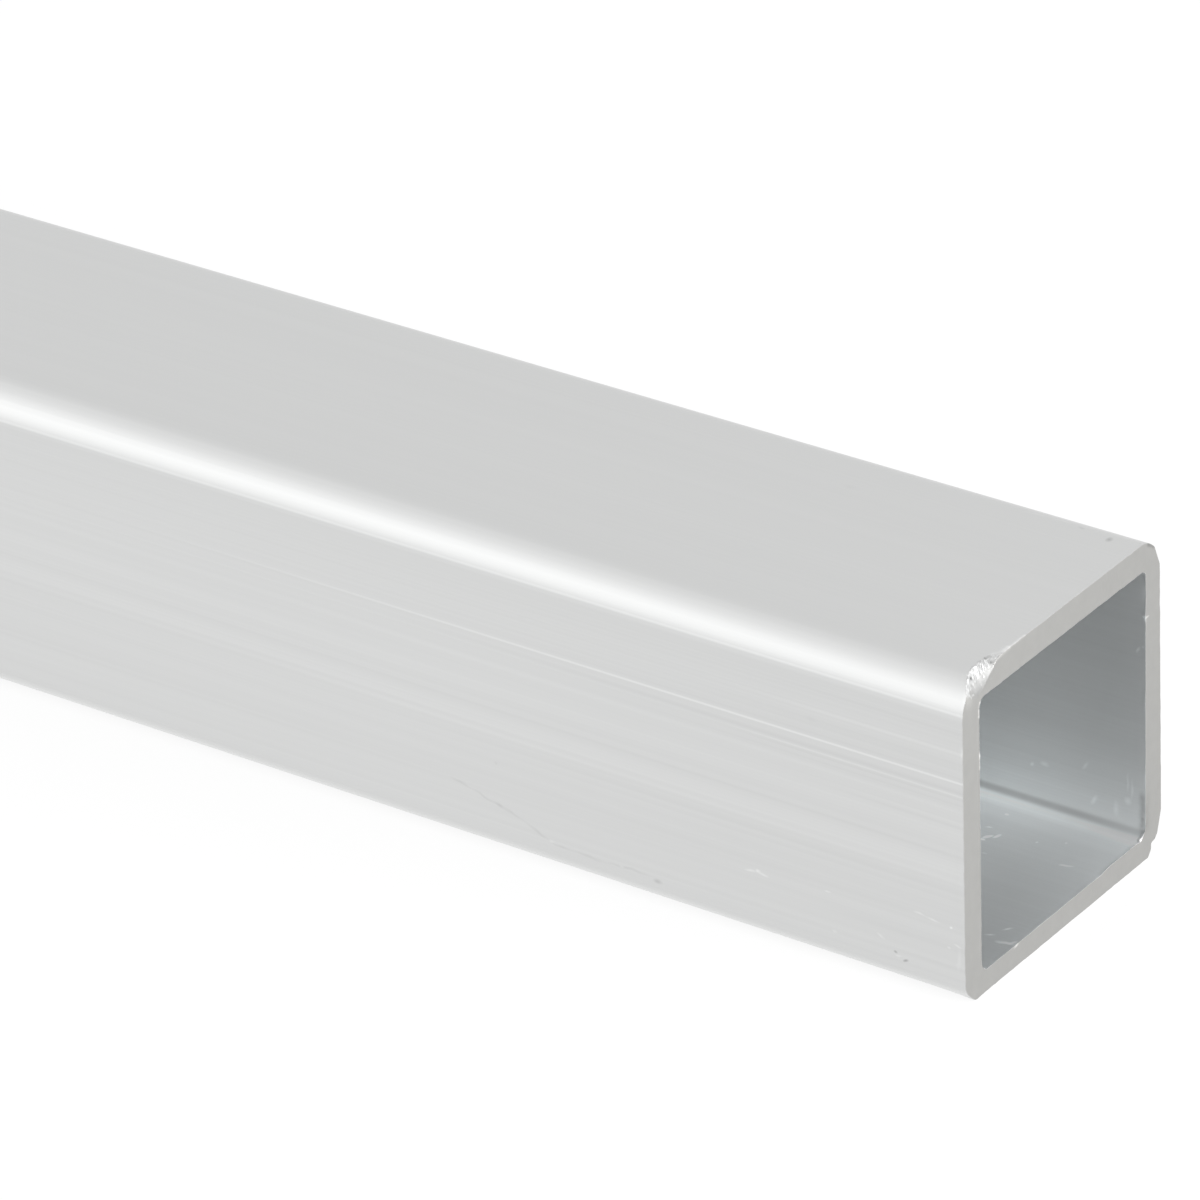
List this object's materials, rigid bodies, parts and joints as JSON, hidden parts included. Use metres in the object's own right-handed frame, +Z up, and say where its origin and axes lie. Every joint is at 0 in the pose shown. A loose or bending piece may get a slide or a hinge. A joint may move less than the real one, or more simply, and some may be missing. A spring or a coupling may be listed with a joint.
{
  "type": "square metal tube",
  "caption": "Straight length of square aluminium tube, open at both saw-cut ends, with round outer corners and a constant wall.",
  "frame": {"origin": "middle of the tube's underside, on the floor that it lies on", "axes": "+X along the tube towards the end with the filed corner, +Z up, -Y the side wall that faces the camera"},
  "size_m": [1, 0.025, 0.025],
  "materials": {
    "mill_aluminium": "mill finish with fine lengthwise die lines"
  },
  "bodies": {
    "root": {"square_tube": "mill_aluminium"}
  },
  "joints": []
}
